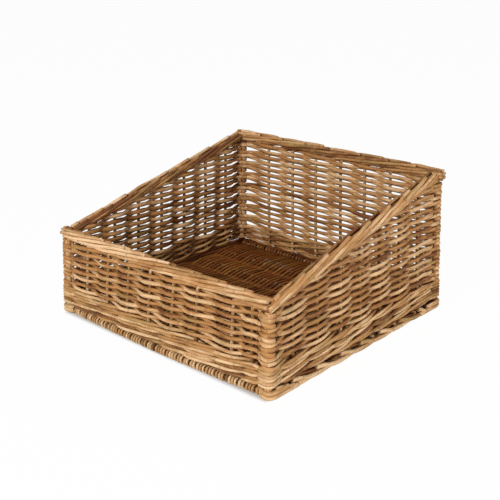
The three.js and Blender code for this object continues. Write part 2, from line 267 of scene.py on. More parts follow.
def draped(base, drift, level, offset, knots, at):
    """Curves through points of the leaning walls at these heights: base + drift level + offset."""
    level = level[:, :, None]
    return smooth_curve(knots, np.concatenate([base + drift * level + offset, level], -1), at)


def tapered(radius, taper, share):
    """Radius that falls evenly from butt to tip: radius (butt - loss share)."""
    butt, loss = taper
    return radius * (butt - loss * share)


def toned(span, tone):
    """Tone moved into a span of its own: low + range tone."""
    low, width = span
    return low + width * tone


def tones(count):
    """Tone of each rod: mostly golden, some pale, some reddish or olive."""
    return toned(ROD_TONES, chance.beta(*TONE_SHAPE, count))


def beside(keep):
    """For every ring, whether the ring before it and the ring after it are kept."""
    padded = np.pad(keep, ((0, 0), (1, 1)))
    return padded[:, :-2], padded[:, 2:]


def placed(name, data):
    """New object of the scene that holds a mesh, lamp or camera."""
    made = bpy.data.objects.new(name, data)
    bpy.context.scene.collection.objects.link(made)
    return made


def smooth_curve(knots, points, at):
    """Natural cubic curve: its second derivatives at the knots solve the three-term
    equations of a bent rod, and between two knots it is the cubic that they give."""
    step = np.diff(knots)
    count = len(knots)
    rows = np.arange(1, count - 1)
    system = np.zeros((count, count))
    system[0, 0] = system[-1, -1] = 1.0
    system[rows, rows - 1] = step[:-1]
    system[rows, rows] = 2 * (step[:-1] + step[1:])
    system[rows, rows + 1] = step[1:]
    values = np.moveaxis(points, 1, 0)
    shape = values.shape
    flat = values.reshape(count, -1)
    slope = np.diff(flat, axis=0) / step[:, None]
    load = np.zeros_like(flat)
    load[rows] = 6 * np.diff(slope, axis=0)
    bend = np.linalg.solve(system, load)
    part = np.clip(np.searchsorted(knots, at, "right") - 1, 0, count - 2)
    width = step[part][:, None]
    low = ((knots[part + 1] - at) / step[part])[:, None]
    high = 1 - low
    cubic = (low**3 - low) * bend[part] + (high**3 - high) * bend[part + 1]
    found = low * flat[part] + high * flat[part + 1] + cubic * width**2 / 6
    return np.moveaxis(found.reshape(len(at), *shape[1:]), 0, 1)


def rods(centres, radius, tone, reference=UP, keep=None, sides=SIDES, tall=1.0):
    """Rods swept along paths: point = centre + radius (tall cos a first + sin a second / tall),
    where first is the reference turned square to the path and second is path x first. Where
    keep ends, a flat cap closes the rod."""
    count, rings = centres.shape[:2]
    radius = np.broadcast_to(radius, (count, rings))
    tone = np.broadcast_to(tone, (count, rings))
    keep = np.ones((count, rings), bool) if keep is None else keep.copy()
    before, after = beside(keep)
    keep &= before | after
    before, after = beside(keep)

    along = unit(np.gradient(centres, axis=1))
    reference = np.broadcast_to(reference, centres.shape)
    first = unit(reference - (reference * along).sum(-1, keepdims=True) * along)
    second = np.cross(along, first)
    angle = np.arange(sides) * 2 * math.pi / sides
    cosine, sine = np.cos(angle), np.sin(angle)
    tall = np.broadcast_to(tall, (count, rings))[:, :, None, None]
    ring = tall * cosine[:, None] * first[:, :, None, :]
    ring = ring + sine[:, None] * second[:, :, None, :] / tall
    surface = centres[:, :, None, :] + radius[:, :, None, None] * ring
    travelled = np.linalg.norm(np.diff(centres, axis=1), axis=-1).cumsum(axis=1)
    travelled = np.pad(travelled, ((0, 0), (1, 0)))
    travelled = travelled + chance.uniform(0, LAY_SPREAD, (count, 1))
    lay = np.empty((count, rings, sides, 3))
    lay[..., 0] = travelled[:, :, None]
    lay[..., 1] = radius[:, :, None] * cosine
    lay[..., 2] = radius[:, :, None] * sine

    starts, ends = keep & ~before, keep & ~after
    number = np.full((count, rings), -1)
    number[keep] = np.arange(keep.sum())
    pair = keep[:, :-1] & keep[:, 1:]
    here = number[:, :-1][pair][:, None] * sides
    there = number[:, 1:][pair][:, None] * sides
    side = np.arange(sides)
    turn = (side + 1) % sides
    quads = np.stack([here + side, here + turn, there + turn, there + side], -1).reshape(-1, 4)
    hub = keep.sum() * sides
    caps = []
    for ring, one, other in ((number[starts], turn, side), (number[ends], side, turn)):
        ring = ring[:, None] * sides
        middle = hub + np.arange(len(ring))[:, None] + 0 * side
        caps.append(np.stack([middle, ring + one, ring + other], -1).reshape(-1, 3))
        hub += len(ring)
    hub_lay = np.zeros((starts.sum() + ends.sum(), 3))
    hub_lay[:, 0] = np.concatenate([travelled[starts], travelled[ends]])
    return {
        "points": np.concatenate([surface[keep].reshape(-1, 3), centres[starts], centres[ends]]),
        "quads": quads,
        "caps": np.concatenate(caps),
        "lay": np.concatenate([lay[keep].reshape(-1, 3), hub_lay]),
        "tone": np.concatenate([np.repeat(tone[keep], sides), tone[starts], tone[ends]]),
    }


def bowed(points):
    """The walls bulge a little: outwards by the bow times one minus the square of the place
    along the wall, all of it low down and none at the rim."""
    x, y, z = points.T
    fade = np.clip((BOW_FADE[1] - z) / (BOW_FADE[1] - BOW_FADE[0]), 0, 1)
    fade = fade * fade * (3 - 2 * fade)
    along_x = np.clip(1 - (x / HALF_X) ** 2, 0, 1)
    along_y = np.clip(1 - (y / HALF_Y) ** 2, 0, 1)
    depth = np.where(y < 0, FRONT_BOW, SIDE_BOW)
    return np.stack([x + SIDE_BOW * x / HALF_X * along_y * fade,
                     y + depth * y / HALF_Y * along_x * fade, z], -1)


def add_piece(name, parts, nodes, material):
    """Puts rods into one mesh in metres, with the lay (along, across, across) and the tone of
    every point, and lets it stand for the nodes."""
    shifts = np.cumsum([0] + [len(part["points"]) for part in parts])
    quads = np.concatenate([part["quads"] + shift for part, shift in zip(parts, shifts)])
    caps = np.concatenate([part["caps"] + shift for part, shift in zip(parts, shifts)])
    points, lay, tone = [np.concatenate([part[name] for part in parts]) for name in LAYERS]
    points = bowed(points) * MM
    lay = lay * MM
    corners = np.concatenate([quads.ravel(), caps.ravel()]).astype(np.int32)
    sizes = np.concatenate([np.full(len(quads), 4), np.full(len(caps), 3)])
    begins = np.concatenate([[0], np.cumsum(sizes)[:-1]]).astype(np.int32)
    mesh = bpy.data.meshes.new(name)
    mesh.vertices.add(len(points))
    mesh.loops.add(len(corners))
    mesh.polygons.add(len(sizes))
    mesh.vertices.foreach_set("co", points.astype(np.float32).ravel())
    mesh.loops.foreach_set("vertex_index", corners)
    mesh.polygons.foreach_set("loop_start", begins)
    mesh.polygons.foreach_set("use_smooth", sizes == 4)
    mesh.update(calc_edges=True)
    lay_layer = mesh.attributes.new("lay", "FLOAT_VECTOR", "POINT")
    lay_layer.data.foreach_set("vector", lay.astype(np.float32).ravel())
    tone_layer = mesh.attributes.new("tone", "FLOAT", "POINT")
    tone_layer.data.foreach_set("value", tone.astype(np.float32))
    mesh.materials.append(material)
    piece = placed(name, mesh)
    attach(piece, "root")
    if nodes:
        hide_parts(*nodes)


def stake_places(name):
    """Places of a wall's stakes along it at the floor, from the boxes of the part's stakes."""
    wall = WALLS[name]
    places = []
    for number in range(1, wall.stakes + 1):
        lowest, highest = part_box(f"stake_{name}_{number}")
        middle = (np.array(lowest) + np.array(highest)) / 2 / MM
        shrink = (wall.span / 2 - LEAN * middle[2]) / (wall.span / 2)
        places.append(float(middle[:2] @ wall.along) / shrink)
    return places


def wall_point(name, u, z, n):
    """Point of a wall: along it by u drawn in by the lean, out by the plane, the lean and n."""
    wall = WALLS[name]
    drawn = u * (wall.span / 2 - LEAN * z) / (wall.span / 2)
    out = wall.plane - LEAN * z + n
    x = wall.along[0] * drawn + wall.outward[0] * out
    y = wall.along[1] * drawn + wall.outward[1] * out
    return joined(x, y, z)


def corner_line(corner, z):
    """Where a corner is at height z, across and deep, on its leaning line."""
    return corner.side_x * (HALF_X - LEAN * z), corner.side_y * (HALF_Y - LEAN * z)


def rim_top(name, u):
    """Height of the top of the rim, straight from one end of the wall to the other."""
    wall = WALLS[name]
    return wall.low + (wall.high - wall.low) * (u / wall.span + 0.5)


def rim_line(name, u):
    """Height of the bundle's middle: the right-hand one sags a little next to the front."""
    sag = RIM_SAG if name == "right" else 0.0
    near = np.clip(1 - (u + WALLS[name].span / 2) / RIM_FULL, 0, 1)
    return rim_top(name, u) - RIM_R - sag * near


def stake_station(name, u, position):
    """Where a row passes a stake: the stake's foot, its drift for each millimetre of height,
    and the direction out of the wall."""
    wall = WALLS[name]
    base = wall.along * u + wall.outward * wall.plane
    drift = -LEAN * (wall.along * u / (wall.span / 2) + wall.outward)
    return {"base": base, "drift": drift, "out": wall.outward, "position": position,
            "wall": name, "kind": "stake"}


def post_stations(name, position):
    """Where a row passes a corner post: before it, at its middle and after it."""
    corner = CORNERS[name]
    base = np.array([corner.side_x * HALF_X, corner.side_y * HALF_Y])
    drift = -LEAN * np.array([corner.side_x, corner.side_y], float)
    return [{"base": base, "drift": drift, "facing": corner.facing, "step": step,
             "position": position, "wall": name, "kind": "post"} for step in (-1, 0, 1)]


def post_offsets(station, rod_r):
    """Offsets from a post's middle for a rod that passes outside it, on a circle about it, and
    for one that passes inside it, straight across the inner corner."""
    turned, ease, apart = math.radians(55), 0.4, 6.0
    reach = POST_R + rod_r - PRESS
    middle = math.radians(station["facing"] + 45)
    angle = middle + station["step"] * turned
    outside = reach * np.array([math.cos(angle), math.sin(angle)])
    travel = np.array([-math.sin(middle), math.cos(middle)])
    inner = -np.array([math.cos(middle), math.sin(middle)])
    inside = inner * (reach + ease * abs(station["step"])) + travel * station["step"] * apart
    return outside, inside


def perimeter():
    """Stations of the weave all the way round, with two more at each end to steady the curve."""
    left = stake_places("left")
    stations = [stake_station("left", left[1], -3), stake_station("left", left[0], -2)]
    stations += post_stations("front_left", -1)
    position = 0
    for wall, corner in zip(WALLS, CORNERS):
        for place in stake_places(wall)[::1 if WALLS[wall].forward else -1]:
            stations.append(stake_station(wall, place, position))
            position += 1
        stations += post_stations(corner, position)
        position += 1
    front = stake_places("front")
    return stations + [stake_station("front", front[step], position + step) for step in (0, 1)]


def paired(stations):
    """Two stations for every stake, just before and just after it, so that a rod bends close
    round the stake and runs straight between stakes. Climb is how far an outer pass lies above
    the row's height there, and an inner one below it."""
    found = []
    for station in stations:
        if station["kind"] == "post":
            found.append(station)
            continue
        wall, weave = WALLS[station["wall"]], WEAVES[station["wall"]]
        way = 1.0 if wall.forward else -1.0
        travel = way * wall.along
        for side in (-1.0, 1.0):
            base = station["base"] + travel * side * PASS_HALF
            climb = weave.tilt + way * side * weave.climb
            found.append({**station, "base": base, "climb": climb})
    return found


def weave_pass(station):
    """Offsets from a station for a row that passes outside it and one that passes inside it."""
    if station["kind"] == "post":
        return post_offsets(station, WEAVER_R)
    away = station["out"] * (STAKE_R + WEAVER_R + WEAVES[station["wall"]].apart)
    return away, -away


def station_knots(base, outside, inside, position):
    """Mean length of the two ways in which a rod can pass each pair of neighbouring stations."""
    odd = (position % 2 == 1)[:, None]
    one = base + np.where(odd, outside, inside)
    other = base + np.where(odd, inside, outside)
    first = np.linalg.norm(np.diff(one, axis=0), axis=1)
    second = np.linalg.norm(np.diff(other, axis=0), axis=1)
    return summed((first + second) / 2)


def ring_knots(stations, knots):
    """Ring places from the middle of the first post to the middle of the last one. In a whole
    bay they gather towards its ends, by a half wave of the cosine."""
    middles = [index for index, station in enumerate(stations) if station.get("step") == 0]
    first, last = middles[0], middles[-1]
    found = []
    for index in range(first, last):
        one, other = stations[index], stations[index + 1]
        steps = BAY_STEPS
        if one["position"] == other["position"]:
            steps = POST_STEPS if one["kind"] == "post" else PASS_STEPS
        if "between" in (one["kind"], other["kind"]):
            steps = BAY_STEPS // 2 + 1
        share = np.arange(steps) / steps
        if steps == BAY_STEPS:
            share = (1 - np.cos(math.pi * share)) / 2
        found.append(knots[index] + (knots[index + 1] - knots[index]) * share)
    found.append(np.array([knots[last]]))
    return np.concatenate(found)


def ring_zones(centres):
    """For every gap between two rings, the wall or corner that it lies in."""
    middle = (centres[:-1] + centres[1:]) / 2
    height = middle[:, 2]
    from_x = np.abs(middle[:, 0]) - (HALF_X - LEAN * height)
    from_y = np.abs(middle[:, 1]) - (HALF_Y - LEAN * height)
    close = (np.abs(from_x) < CORNER_REACH) & (np.abs(from_y) < CORNER_REACH)
    across = np.where(middle[:, 0] > 0, "right", "left")
    deep = np.where(middle[:, 1] < 0, "front", "back")
    names = np.where(from_y > from_x, deep, across).astype(object)
    for name, corner in CORNERS.items():
        here = close & (middle[:, 0] * corner.side_x > 0) & (middle[:, 1] * corner.side_y > 0)
        names[here] = name
    return names


def in_zone(zones, name):
    """Rings that touch a gap of the zone."""
    gap = zones == name
    return np.pad(gap, (1, 0)) | np.pad(gap, (0, 1))


def rod_plan(rows):
    """Places on the long spiral of rows at which a new rod starts, each inside a stake."""
    shortest, longest = 19, 30
    last = (rows + 1) * POSITIONS
    starts = [-2 * POSITIONS]
    while starts[-1] < last:
        place = starts[-1] + int(chance.integers(shortest, longest))
        starts.append(place + (place + 1) % 2)
    return np.array(starts, float)


def weave_rows():
    """Centres, radii and tones of all rows of the plain weave: one rod in front of a stake, the
    next behind it, each row a pitch above the last and rising one pitch on its way round. Rows
    reach a post by a cycle of four heights, and the fourth leaves it higher, after a wrap."""
    stations = paired(perimeter())
    base, drift, position = gathered(stations, "base", "drift", "position")
    outside, inside = np.array([weave_pass(station) for station in stations]).swapaxes(0, 1)
    middle_height = 100
    knots = station_knots(base + drift * middle_height, outside, inside, position)
    row = np.arange(-1, BACK_ROWS)[:, None]
    swing = ROW_SWING * np.cos(2 * math.pi * (position - FRONT_MIDDLE) / POSITIONS)
    height = WEAVE_BOTTOM + WEAVER_R + (row + position / POSITIONS) * (ROW_PITCH - swing)
    places, place_of = np.unique(position, return_inverse=True)
    height = height + chance.normal(0, 0.25, (len(row), len(places)))[:, place_of]
    cycle = row % len(POST_SHIFTS)
    climb, kind = gathered(stations, "climb", "kind")
    shift = np.array(POST_SHIFTS)[cycle] * ROW_PITCH
    wrap_leaves = 0.58
    lift = np.where(cycle == WRAP_ROW, wrap_leaves * ROW_PITCH, shift)
    passes_out = (position + row) % 2 == 0
    height = height + np.where(passes_out, climb, -climb)
    offset = np.where(passes_out[:, :, None], outside, inside)
    scatter = chance.normal(1.0, 0.06, (len(row), len(places)))
    offset = offset * scatter[:, place_of][:, :, None]
    at = ring_knots(stations, knots)
    ring_position = np.interp(at, knots, position)
    levels = [height + np.where(kind == "post", moved, 0.0) for moved in (shift, lift)]
    arriving, leaving = [draped(base, drift, level, offset, knots, at) for level in levels]
    spiral = row * POSITIONS + ring_position
    starts = rod_plan(BACK_ROWS)
    which = np.searchsorted(starts, spiral, "right") - 1
    last_length = 25.0
    length = np.append(np.diff(starts), last_length)[which]
    share = (spiral - starts[which]) / length
    thick = chance.normal(1.0, THICK_SCATTER, len(starts))[which]
    radius = tapered(WEAVER_R * thick, WEAVER_TAPER, share)
    tone = tones(len(starts))[which]
    posts = np.array([knot for knot, station in zip(knots, stations) if station.get("step") == 0])
    nearest = np.abs(at[:, None] - posts).min(axis=1)
    at_post = np.exp(-((nearest / POST_EASE) ** 2))
    tall = WEAVER_TALL + (POST_TALL - WEAVER_TALL) * at_post
    pull, post_tone = 0.6, 0.62
    tone = tone + pull * at_post * (post_tone - tone)
    return {"rows": row[:, 0], "at": at, "position": ring_position, "arriving": arriving,
            "leaving": leaving, "radius": radius, "tone": tone, "tall": tall}


def under_rim(centres, name):
    """Where a row still lies below the middle of the sloping rim."""
    margin = 1.0
    height = centres[..., 2]
    shrink = (HALF_Y - LEAN * height) / HALF_Y
    return height < rim_top(name, centres[..., 1] / shrink) - RIM_R - margin


def post_rings(name, heights, tone, radius):
    """The extra full turn of every fourth row round a corner post: angle falls through a full
    circle while the height rises."""
    corner = CORNERS[name]
    rings, inner_side = 29, corner.facing + 45 + 180
    share = np.linspace(0, 1, rings)
    angle = math.radians(inner_side) - np.linspace(0, 2 * math.pi, rings)
    reach = POST_R + WEAVER_R - PRESS
    level = heights[:, :1] + (heights[:, 1:] - heights[:, :1]) * share
    x, y = corner_line(corner, level)
    path = joined(x + reach * np.cos(angle), y + reach * np.sin(angle), level)
    return rods(path, radius, tone, tall=POST_TALL)


def make_wall_rows(wall, weave, zones, willow):
    """Rows of one wall. Each follows the line that leaves the last post up to the wall's middle,
    and from there the one that arrives at the next post."""
    keep = in_zone(zones, wall) & weave["begun"]
    if wall == "front":
        keep = keep & weave["low"]
    if wall in ("left", "right"):
        keep = keep & under_rim(weave["arriving"], wall)
    before = np.arange(len(zones) + 1) < in_zone(zones, wall).nonzero()[0].mean()
    centres = np.where(before[None, :, None], weave["leaving"], weave["arriving"])
    tall = weave["tall"] * WEAVES[wall].tall
    radius = weave["radius"] * WEAVES[wall].thick
    part = rods(centres, radius, weave["tone"], keep=keep, tall=tall)
    add_piece(f"woven_rows_{wall}", [part], [f"weave_{wall}"], willow)


def make_post_wraps(corner, weave, zones, willow):
    """Passes of the rows round one corner post, and the full turn of every fourth row."""
    front = corner.startswith("front")
    begun = weave["begun"] & weave["low"] if front else weave["begun"]
    rows, most = weave["rows"], FRONT_ROWS if front else BACK_ROWS
    here = in_zone(zones, corner)
    rings = np.arange(len(zones) + 1)
    if corner == "front_left":
        before = here & (rings > len(rings) // 2)
        after = here & (rings < len(rings) // 2)
        middle = rings[-1]
    else:
        distance = np.abs(weave["at"] - weave["at"][here.nonzero()[0]].mean())
        middle = int(np.argmin(np.where(here, distance, np.inf)))
        before = here & (rings <= middle)
        after = here & (rings >= middle)
    parts = []
    for line, side in (("arriving", before), ("leaving", after)):
        keep = side & begun
        part = rods(weave[line], weave["radius"], weave["tone"], keep=keep, tall=weave["tall"])
        parts.append(part)
    wrapped = (rows % len(POST_SHIFTS) == WRAP_ROW) & (rows < most)
    ends = [weave[line][wrapped, middle, 2] for line in ("arriving", "leaving")]
    tone = weave["tone"][wrapped, middle][:, None]
    radius = weave["radius"][wrapped, middle][:, None]
    parts.append(post_rings(corner, np.stack(ends, 1), tone, radius))
    add_piece(f"post_wraps_{corner}", parts, [f"corner_wrap_{corner}"], willow)


def make_weave(willow):
    """Plain weave of the walls, and its passes round the corner posts."""
    weave = weave_rows()
    rows = weave["rows"][:, None]
    lowest_begins, middle_row = 14, 10
    weave["begun"] = (rows >= 0) | (weave["position"] > lowest_begins)
    weave["low"] = rows < FRONT_ROWS
    zones = ring_zones(weave["arriving"][middle_row])
    for wall in WALLS:
        make_wall_rows(wall, weave, zones, willow)
    for corner in CORNERS:
        make_post_wraps(corner, weave, zones, willow)


def wale_stations():
    """The stations of the weave with one more in the middle of every bay. Held names the turn
    of the rod that stays outside in a bay next to a post."""
    stations = perimeter()
    found = [stations[0]]
    for before, after in zip(stations[:-1], stations[1:]):
        if before["position"] != after["position"]:
            wall = before if before["kind"] == "stake" else after
            held = 1 if after["kind"] == "post" else 2 if before["kind"] == "post" else 0
            found.append({
                "base": (before["base"] + after["base"]) / 2,
                "drift": (before["drift"] + after["drift"]) / 2,
                "out": wall["out"], "position": before["position"], "kind": "between", "held": held,
            })
        found.append(after)
    return found


def wale_pass(station):
    """Offsets from a station for a wale rod that passes outside it and one that passes inside
    it. Rods go wide round a post, and at a front post the inner ones stay outside too."""
    if station["kind"] != "post":
        away = station["out"] * (STAKE_R + WALE_R + WALE_PROUD)
        return away, -station["out"] * (STAKE_R + WALE_R - PRESS)
    turned, nearest, ease, inner = math.radians(104), 6.8, 3.0, 0.8
    angle = math.radians(station["facing"] + 45) + station["step"] * turned
    reach = nearest + ease * abs(station["step"])
    away = reach * np.array([math.cos(angle), math.sin(angle)])
    if station["wall"].startswith("front"):
        return away, inner * away
    return away, post_offsets(station, WALE_R)[1]


def make_wale(willow):
    """Rounds of three-rod wale. Each rod comes out low, climbs past the outside of two stakes,
    and goes in high to pass the inside of the third. It is pieced from several lengths."""
    stations = wale_stations()
    base, drift, position, held = gathered(stations, "base", "drift", "position", "held")
    between = gathered(stations, "kind")[0] == "between"
    outside, inside = np.array([wale_pass(station) for station in stations]).swapaxes(0, 1)
    knots = station_knots(base, outside, inside, position)
    count = WALE_RODS * WALE_ROUNDS
    rod = np.arange(count)[:, None]
    turn = (position + rod) % WALE_RODS
    level = WALE_BOTTOM + WALE_PITCH * (rod // WALE_RODS + 0.5)
    rise = np.select([turn == 0, turn == 1], [-WALE_RISE, WALE_RISE], 0.0)
    cross = np.select([turn == 0, turn == 1], [0.0, WALE_CROSS], -WALE_CROSS)
    rise = np.where(between, cross, rise)
    height = level + rise + chance.normal(0, 0.2, turn.shape)
    loose = between & (turn > 0) & (turn != held)
    goes_in = (turn == 2) & ~between
    offset = np.where(goes_in[:, :, None], inside, outside)
    offset = np.where(loose[:, :, None], WALE_LOOSE * outside, offset)
    at = ring_knots(stations, knots)
    centres = draped(base, drift, height, offset, knots, at)
    names = ring_zones(centres[0])
    for name, corner in CORNERS.items():
        names[names == name] = "front" if corner.side_y < 0 else "back"
    joint = chance.uniform(0, 1, (count, 1))
    lengths_round, drawn, bright = 2.4, 4, 1.05
    lengths = np.linspace(0, 1, len(at)) * lengths_round + joint
    tone = bright * tones(drawn * count).reshape(count, drawn)[rod, lengths.astype(int)]
    radius = tapered(WALE_R, WALE_TAPER, lengths % 1)
    for wall in WALLS:
        keep = np.broadcast_to(in_zone(names, wall), (count, len(at)))
        # Tone taken off the wale rods: an even 0.1 on the front and right, and 0.25 on the back and left,
        # which is painted shade for the shaded inside of the basket
        darker_and_painted_shade = 0.25 if wall in ("back", "left") else 0.1
        part = rods(centres, radius, tone - darker_and_painted_shade, keep=keep)
        add_piece(f"wale_rods_{wall}", [part], [f"wale_{wall}"], willow)


def border_kept(name, u, n):
    """Where the rods of a border are kept: each is cut near the corner posts, at a place of its
    own. On a sloping wall the inner rods are cut behind the front post."""
    border, half = BORDERS[name], WALLS[name].span / 2
    low_end = -half - border.low_past
    high_end = half + border.high_past
    if WALLS[name].low == WALLS[name].high:
        low_end = low_end + chance.uniform(-1, 3, (len(u), 1))
        high_end = high_end - chance.uniform(0, 3, (len(u), 1))
    else:
        outer_side, inner_cut = 3.0, 4.0
        low_end = np.where(n > outer_side, low_end, -half + inner_cut)
        high_end = high_end + chance.uniform(-5, 3, (len(u), 1))
    return (u > low_end) & (u < high_end)


def rim_family(name, starts, upright):
    """Rods of one side of a border. Each leaves its stake upright or the bundle's middle, bends
    along the wall, winds round the bundle's middle line from one angle to another while it
    tapers, and ends proud of the rods beneath it."""
    wall, border = WALLS[name], BORDERS[name]
    family = border.outer if upright else border.inner
    bay = wall.span / (wall.stakes + 1)
    length = family.bays * bay
    first_angle = np.radians(OUTER_BEGINS if upright else INNER_BEGINS)
    last_angle = np.radians(family.end)
    level, points, rises = 15.0, 9, 0.72
    stretch = np.concatenate([RIM_BEND, np.linspace(level, length, points)])
    run = np.clip((stretch - level) / (length - level), 0, 1)
    angle = first_angle + (last_angle - first_angle) * run
    ring = RIM_RING + border.proud * np.clip((run - rises) / (1 - rises), 0, 1)
    u = starts[:, None] + stretch
    half = wall.span / 2
    slim = np.interp(u, (-half, RIM_FULL - half), (family.thin, 1.0))
    bent = len(RIM_BEND)
    out = ring * np.cos(angle)
    rise = ring * np.sin(angle)
    out[:bent] = np.array(RIM_BEND_OUT) * out[bent]
    rise[:bent] = RIM_BEND_UPRIGHT if upright else np.array(RIM_BEND_RISE) * rise[bent]
    jitter = chance.normal(0, RIM_SCATTER, u.shape)
    wobble = chance.normal(0, RIM_SCATTER, u.shape)
    jitter[:, :bent] = wobble[:, :bent] = 0
    n = out * slim + wobble
    z = rim_line(name, u) + rise * slim + jitter
    knots = summed(np.hypot(np.diff(stretch), np.diff(rise)))
    bend_rings, rings = 8, 40
    bend = np.linspace(0, knots[bent], bend_rings, endpoint=False)
    at = np.concatenate([bend, np.linspace(knots[bent], knots[-1], rings)])
    local = smooth_curve(knots, np.stack([u, n, z], -1), at)
    u, n, z = local[..., 0], local[..., 1], local[..., 2]
    keep = border_kept(name, u, n)
    radius = tapered(border.rod_r, RIM_TAPER, np.linspace(0, 1, len(at)))
    radius = radius * chance.normal(1, RIM_THICK_SCATTER, (len(starts), 1))
    # The inner families' tone spans hold painted shade for the rim's inner side
    tone = toned(family.tones, tones(len(starts))[:, None])
    outward = np.array([*wall.outward, 0.0])
    return rods(wall_point(name, u, z, n), radius, tone, reference=outward, keep=keep)


def make_rims(willow):
    """Borders: an outer family of rods that climbs from under the rim over its outer side, and
    an inner family that climbs its inner side. Both end on top, round a plain core."""
    earlier, hair, between, core_drop, rings = 6, 0.001, 0.45, 0.4, 24
    for name, wall in WALLS.items():
        half = wall.span / 2
        bay = wall.span / (wall.stakes + 1)
        before = -half - bay * np.arange(earlier - 1, -1, -1) - hair
        starts = np.concatenate([before, stake_places(name)])
        outer = rim_family(name, starts, True)
        inner = rim_family(name, starts + between * bay, False)
        line = np.linspace(-half + 1, half - 1, rings)[None]
        centres = wall_point(name, line, rim_line(name, line) - core_drop, 0.0)
        core = rods(centres, RIM_CORE_R, RIM_CORE_TONE, np.array([*wall.outward, 0.0]))
        parts = [outer, inner, core]
        add_piece(f"border_rods_{name}", parts, [f"rim_{name}"], willow)


def make_stakes(willow):
    """Stakes, each a gently bowed rod on its leaning line, from the base to under the rim."""
    gap, most_bow = 0.3, 0.35
    share = np.linspace(0, 1, UPRIGHT_RINGS)
    for wall in WALLS:
        for number, place in enumerate(stake_places(wall), 1):
            top = min(rim_top(wall, place - STAKE_R), rim_top(wall, place + STAKE_R)) - 2 * RIM_R
            z = BASE_THICK + gap + (top - BASE_THICK) * share
            bow = chance.normal(0, most_bow) * np.sin(math.pi * share)
            centres = wall_point(wall, place + bow, z, 0.0)[None]
            part = rods(centres, tapered(STAKE_R, STAKE_TAPER, share), tones(1)[0], SIDEWAYS)
            name = f"stake_{wall}_{number}"
            add_piece(f"{name}_rod", [part], [name], willow)


def make_posts(willow):
    """Corner posts, each a straight rod on its leaning line."""
    foot = 4.0
    share = np.linspace(0, 1, UPRIGHT_RINGS)
    for name, corner in CORNERS.items():
        height = FRONT_HEIGHT if corner.side_y < 0 else BACK_HEIGHT
        z = foot + (height - 2 * RIM_R - foot) * share
        x, y = corner_line(corner, z)
        part = rods(joined(x, y, z)[None], POST_R, tones(1)[0], SIDEWAYS, sides=FINE_SIDES)
        add_piece(f"corner_post_{name}_rod", [part], [f"corner_post_{name}"], willow)


def make_base_rods(willow):
    """Rods of the base from front to back, over one stick and under the next, and the plain
    lengthwise rods that fill its side edges."""
    ends = np.linspace(-HALF_Y, HALF_Y, BASE_STICKS)
    ends[0] += BASE_ROD_SHORT
    ends[-1] -= BASE_ROD_SHORT
    past, bay_steps, clear = 1.5, 9, 0.02
    half = HALF_X + past
    count = int(round(2 * half / BASE_ROD_PITCH))
    x = -half + (np.arange(count) + 0.5) * 2 * half / count
    over = (np.arange(BASE_STICKS)[None, :] + np.arange(count)[:, None]) % 2 == 0
    lift = FLOOR_STICK_R + BASE_ROD_R - PRESS
    z = BASE_MIDDLE + np.where(over, lift, -lift) * chance.normal(1, 0.04, over.shape)
    z[:, 0] = z[:, -1] = BASE_MIDDLE
    sway = x[:, None] + chance.normal(0, 0.3, over.shape)
    at = np.linspace(ends[0], ends[-1], (BASE_STICKS - 1) * bay_steps + 1)
    centres = smooth_curve(ends, joined(sway, ends, z), at)
    centres[..., 2] = np.clip(centres[..., 2], BASE_ROD_R + clear, None)
    radius = BASE_ROD_R * chance.normal(1, THICK_SCATTER, (count, 1))
    parts = [rods(centres, radius, tones(count)[:, None], sides=COARSE_SIDES)]
    share = np.linspace(-1, 1, FILLER_RINGS)
    # Side filler rods take the dark tone of painted shade, for the shaded side edges of the base
    for side in (-1, 1):
        for inwards, level in ((4.0, 11.6), (3.4, 16.0)):
            line = joined(side * (HALF_X - inwards), share * (HALF_Y - FILLER_SHORT), level)
            parts.append(rods(line[None], FILLER_R, PAINTED_SHADE_TONE))
    add_piece("base_rods", parts, ["base_weave"], willow)


def turn_places(gap):
    """Places of the turns of rod along an edge: groups of two to four that stand apart."""
    begins, ends, pitch, group_gap = 8.0, 5.0, 4.3, 2.0
    place, places, group = -HALF_X + begins, [], 0
    while place < HALF_X - ends:
        places.append(place)
        group = group - 1 if group > 0 else int(chance.integers(1, 4))
        place += pitch + chance.uniform(0, 0.6) + (group_gap if group == 0 else 0.0)
        place += gap
    return np.array(places)[:, None]


def edge_turns(side, rod_r, gap):
    """Paths, radii and tones of the turns of rod round an outer stick. Each is a helix: the
    angle runs a little over once round while the place along the stick slants."""
    places = turn_places(gap)
    thick = rod_r * chance.normal(1.0, 0.06, places.shape)
    past, rings, lean = 1.02, 21, 1.2
    around = np.linspace(0.0, 2 * math.pi * past, rings)
    angle = around if side < 0 else math.pi - around
    reach = FLOOR_STICK_R + thick
    y = side * HALF_Y + reach * np.cos(angle)
    z = BASE_MIDDLE + reach * np.sin(angle)
    slant = places + lean * (around / (2 * math.pi) - 0.5)
    return joined(slant, y, z), thick, tones(len(places))[:, None]


def make_edge_turns(front_willow, back_willow):
    """Turns of rod along the front and back edges of the base, and a plain rod that fills the
    back edge under the wall."""
    paths, thick, tone = edge_turns(-1, TURN_R, 0.0)
    part = rods(paths, thick, toned(FRONT_TURN_TONES, tone), SIDEWAYS, sides=COARSE_SIDES)
    add_piece("edge_turns_front", [part], [], front_willow)
    paths, thick, tone = edge_turns(1, BACK_TURN_R, 1.2)
    part = rods(paths, thick, toned(BACK_TURN_TONES, tone), SIDEWAYS, sides=COARSE_SIDES)
    share = np.linspace(-1, 1, FILLER_RINGS)
    inwards, level = 0.8, 15.4
    foot = joined(share * (HALF_X - FILLER_SHORT), HALF_Y - inwards, level)[None]
    # The foot rod takes the dark tone of painted shade, for its place under the back wall
    parts = [part, rods(foot, FOOT_R, PAINTED_SHADE_TONE)]
    add_piece("edge_turns_back", parts, [], back_willow)


